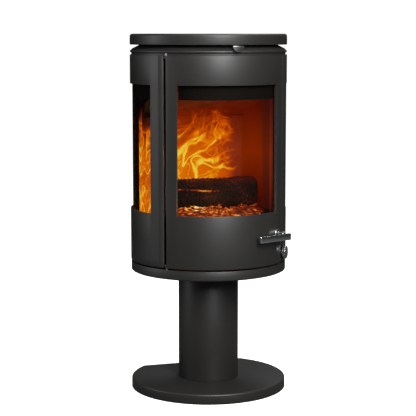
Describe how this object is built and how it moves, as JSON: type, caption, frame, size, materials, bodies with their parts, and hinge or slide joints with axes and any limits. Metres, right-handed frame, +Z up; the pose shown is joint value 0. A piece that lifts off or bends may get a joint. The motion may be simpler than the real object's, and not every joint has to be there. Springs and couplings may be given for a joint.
{
  "type": "wood burning stove",
  "caption": "Round cast iron wood stove with curved front and side windows, a hinged door with a bar handle and a rear flue outlet, on a column and floor plate.",
  "frame": {"origin": "on the floor, on the axis of the column, at the underside of the floor plate", "axes": "+Z up; the door faces -Y, its hinge is on the -X side, and the flue leaves at +Y"},
  "size_m": [0.464, 0.459, 1.06],
  "materials": {
    "cast_iron_paint": "satin grey-black stove paint on fine cast iron",
    "black_steel": "matt black heatproof paint, sooty",
    "polished_steel": "polished stainless steel",
    "zinc_steel": "zinc plated steel, dull",
    "stove_glass": "clear ceramic glass, faintly smoked",
    "sealing_rope": "braided glass fibre, grey-black",
    "vermiculite": "pressed vermiculite board, heat stained",
    "charred_wood": "burning split log, charred in blocks with glowing cracks",
    "embers": "glowing embers and ash"
  },
  "bodies": {
    "stove_body": {"floor_plate": "cast_iron_paint", "pedestal_column": "cast_iron_paint", "body_tray": "cast_iron_paint", "collar": "cast_iron_paint", "top_plate": "cast_iron_paint", "flue_blanking_plate": "cast_iron_paint", "side_panel_left": "cast_iron_paint", "side_panel_right": "cast_iron_paint", "back_panel": "cast_iron_paint", "flue_spigot": "cast_iron_paint", "front_frame": "black_steel", "air_wash_strip_right": "black_steel", "air_wash_strip_left": "black_steel", "hearth_plate": "black_steel", "grate": "black_steel", "ash_shelf": "black_steel", "base_bolt_1": "zinc_steel", "base_bolt_2": "zinc_steel", "base_bolt_3": "zinc_steel", "base_bolt_4": "zinc_steel", "column_bolt_1": "zinc_steel", "column_bolt_2": "zinc_steel", "column_bolt_3": "zinc_steel", "column_bolt_4": "zinc_steel", "hinge_pin_lower": "zinc_steel", "hinge_pin_upper": "zinc_steel", "latch_strike": "zinc_steel", "ash_pan": "zinc_steel", "glass_right": "stove_glass", "glass_left": "stove_glass", "gasket_right": "sealing_rope", "gasket_left": "sealing_rope", "liner_back": "vermiculite", "liner_right": "vermiculite", "liner_left": "vermiculite", "smoke_baffle": "vermiculite", "log_front": "charred_wood", "log_rear": "charred_wood", "ember_bed": "embers"},
    "door": {"door_frame": "cast_iron_paint", "door_rope": "sealing_rope", "gasket_front": "sealing_rope", "glass_front": "stove_glass", "air_wash_strip_front": "black_steel", "glass_clip_bottom_left": "zinc_steel", "glass_clip_top_left": "zinc_steel", "glass_clip_bottom_right": "zinc_steel", "glass_clip_top_right": "zinc_steel", "handle_hub": "polished_steel"},
    "door_handle": {"handle_bar": "polished_steel", "handle_shaft": "polished_steel", "latch_tongue": "zinc_steel"},
    "air_control": {"air_knob": "polished_steel", "air_stem": "zinc_steel", "air_valve_plate": "zinc_steel"},
    "air_wash_control": {"air_wash_tab": "polished_steel", "air_wash_slide": "zinc_steel"}
  },
  "joints": [
    {"name": "door_hinge", "type": "hinge", "parent": "stove_body", "child": "door", "pos_m": [-0.17058, -0.14672, 0.696], "axis": [0, 0, -1], "range_deg": [0, 110]},
    {"name": "handle_turn", "type": "hinge", "parent": "door", "child": "door_handle", "pos_m": [0.14913, -0.17772, 0.484], "axis": [-0.6428, 0.766, 0], "range_deg": [0, 45]},
    {"name": "air_control_slide", "type": "slide", "parent": "stove_body", "child": "air_control", "axis": [0, 0, 1], "range_m": [0, 0.036]},
    {"name": "air_wash_turn", "type": "hinge", "parent": "stove_body", "child": "air_wash_control", "pos_m": [0, 0, 1.02], "axis": [0, 0, 1], "range_deg": [-12, 12]}
  ]
}
